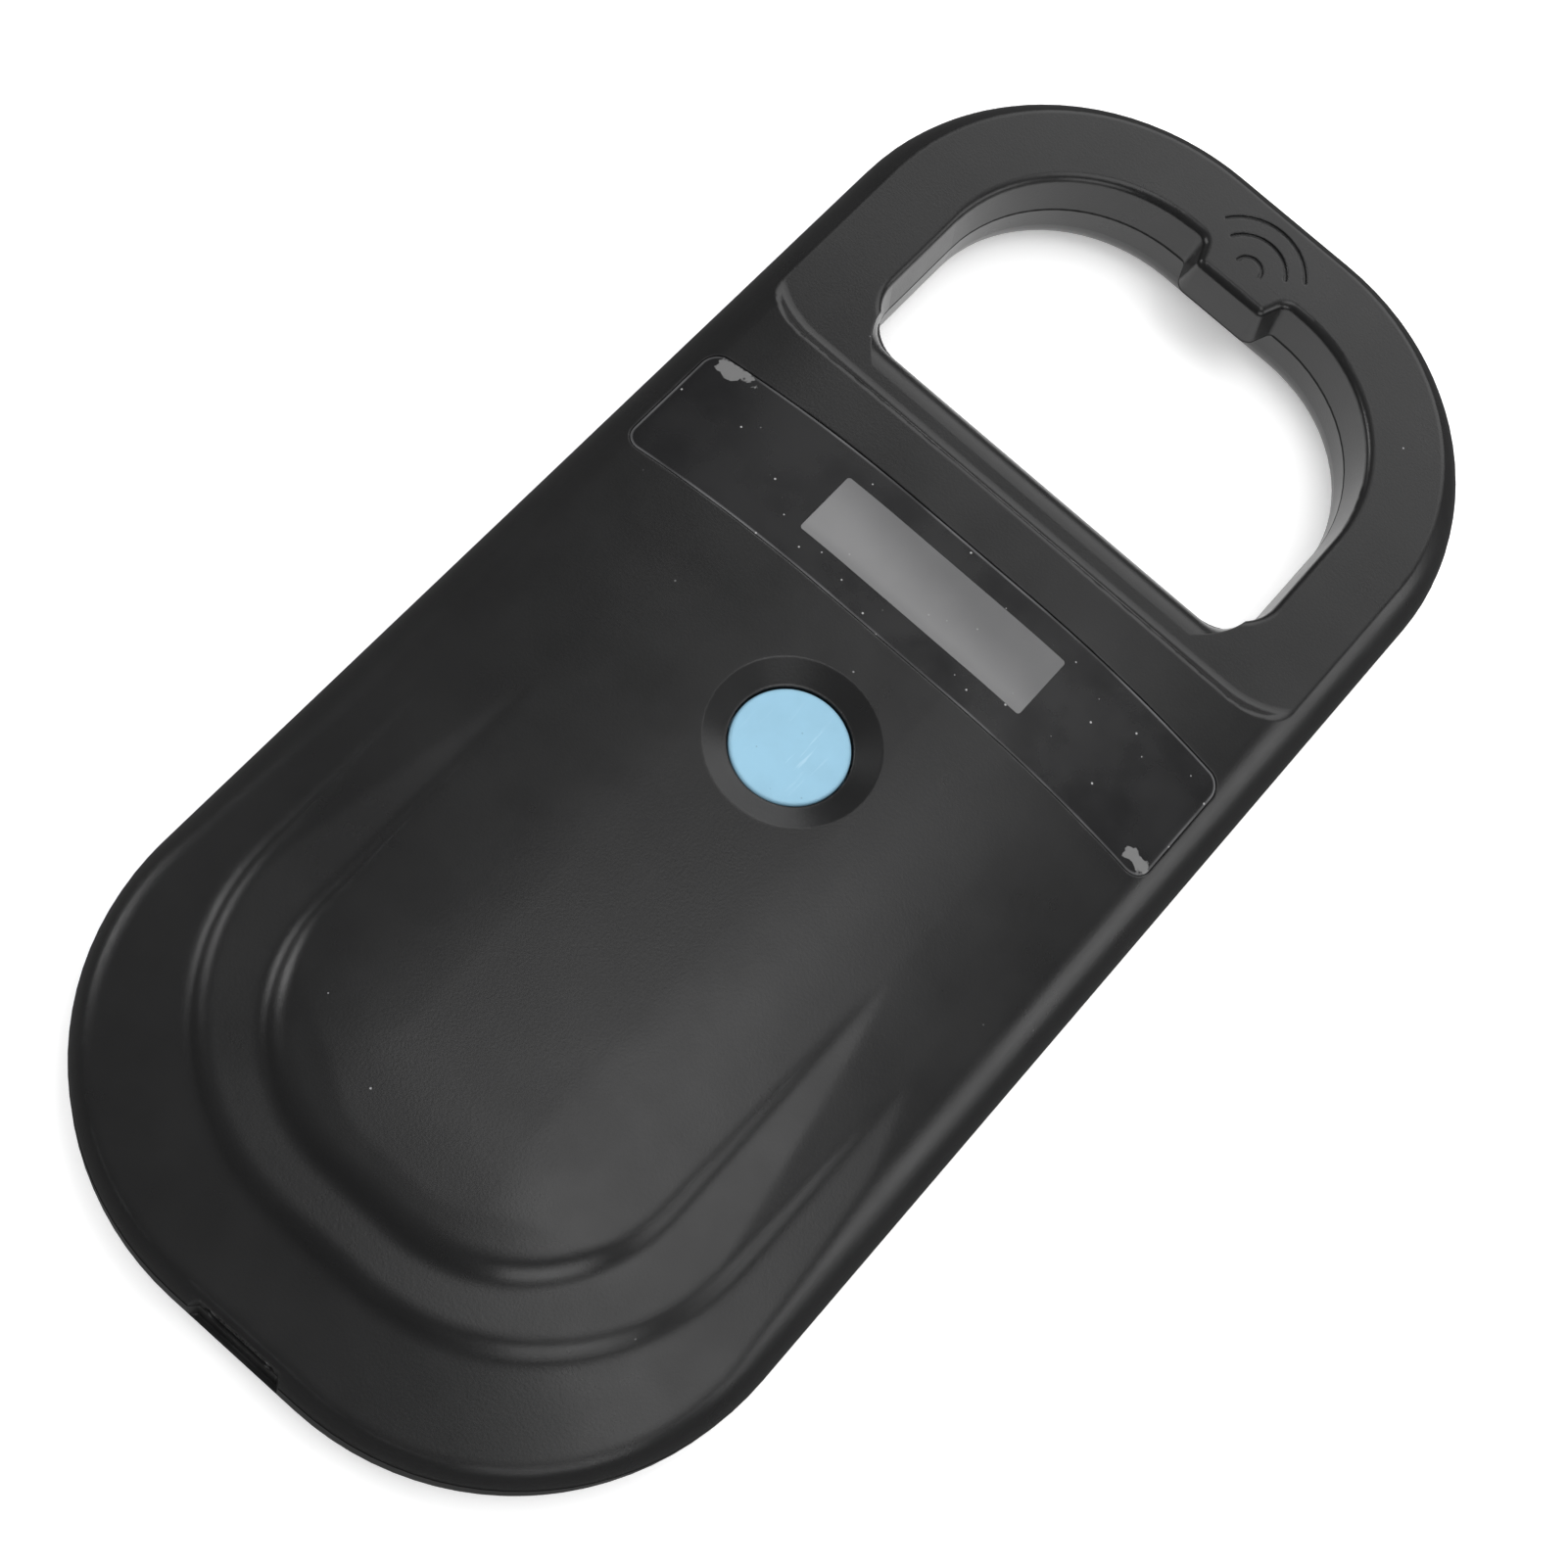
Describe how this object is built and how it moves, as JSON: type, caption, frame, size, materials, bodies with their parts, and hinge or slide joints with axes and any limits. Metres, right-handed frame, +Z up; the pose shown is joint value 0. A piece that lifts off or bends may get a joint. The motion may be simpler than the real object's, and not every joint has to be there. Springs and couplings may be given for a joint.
{
  "type": "handheld microchip scanner",
  "caption": "Flat handheld animal microchip scanner with a looped handle, display window, push button, rounded antenna end and charging socket.",
  "frame": {"origin": "middle of the outline, on the plane of the flat back that it lies on", "axes": "+X across the case to its right side, +Y along the case towards the handle loop, +Z up out of the display and button"},
  "size_m": [0.076, 0.168, 0.0176],
  "materials": {
    "case_black": "fine moulded grain",
    "case_back": "fine moulded grain",
    "label_film": "glossy film",
    "window_pane": "smoked, glossy",
    "rear_label": "blank satin film",
    "button_blue": "satin",
    "switch_black": "moulded",
    "switch_stem": "moulded",
    "board_green": "solder mask",
    "screw_zinc": "zinc plated",
    "screw_black": "blackened",
    "carrier_white": "moulded",
    "panel_glass": "polished, dark",
    "connector_black": "moulded",
    "ribbon_amber": "smooth film",
    "chip_black": "moulded",
    "chip_dark": "moulded",
    "can_metal": "satin",
    "capacitor_can": "satin",
    "inductor_grey": "pressed powder",
    "buzzer_black": "moulded",
    "header_white": "moulded",
    "plug_white": "moulded",
    "foam_grey": "open foam",
    "cell_foil": "foil pouch",
    "wire_red": "insulated wire",
    "coil_copper": "enamelled copper wire",
    "former_white": "moulded",
    "wire_copper": "enamelled copper wire",
    "charge_green": "solder mask",
    "socket_metal": "tin plated",
    "tongue_black": "moulded",
    "screw_small": "zinc plated",
    "wire_black": "insulated wire"
  },
  "bodies": {
    "case": {"upper_shell": "case_black", "lower_shell": "case_back", "display_label": "label_film", "display_window": "window_pane", "rating_label": "rear_label", "switch_body": "switch_black", "main_board": "board_green", "board_screws": "screw_zinc", "case_screws": "screw_black", "display_carrier": "carrier_white", "display_glass": "panel_glass", "display_connector": "connector_black", "display_ribbon": "ribbon_amber", "controller_chip": "chip_black", "reader_chip": "chip_dark", "crystal_can": "can_metal", "capacitors": "capacitor_can", "power_inductor": "inductor_grey", "buzzer": "buzzer_black", "battery_header": "header_white", "battery_plug": "plug_white", "battery_pad": "foam_grey", "battery_cell": "cell_foil", "battery_leads": "wire_red", "antenna_coil": "coil_copper", "coil_former": "former_white", "coil_leads": "wire_copper", "charge_board": "charge_green", "usb_shell": "socket_metal", "usb_tongue": "tongue_black", "charge_screws": "screw_small", "charge_leads": "wire_black"},
    "button": {"button_cap": "button_blue"},
    "switch_stem": {"switch_plunger": "switch_stem"}
  },
  "joints": [
    {"name": "button_press", "type": "slide", "parent": "case", "child": "button", "axis": [0, 0, 1], "range_m": [-0.0003, 0], "stiffness_N_per_m": 5000},
    {"name": "switch_press", "type": "slide", "parent": "case", "child": "switch_stem", "axis": [0, 0, 1], "range_m": [-0.0003, 0]}
  ],
  "couplings": [
    {"joint": "switch_press", "follows": "button_press", "ratio": 1}
  ]
}
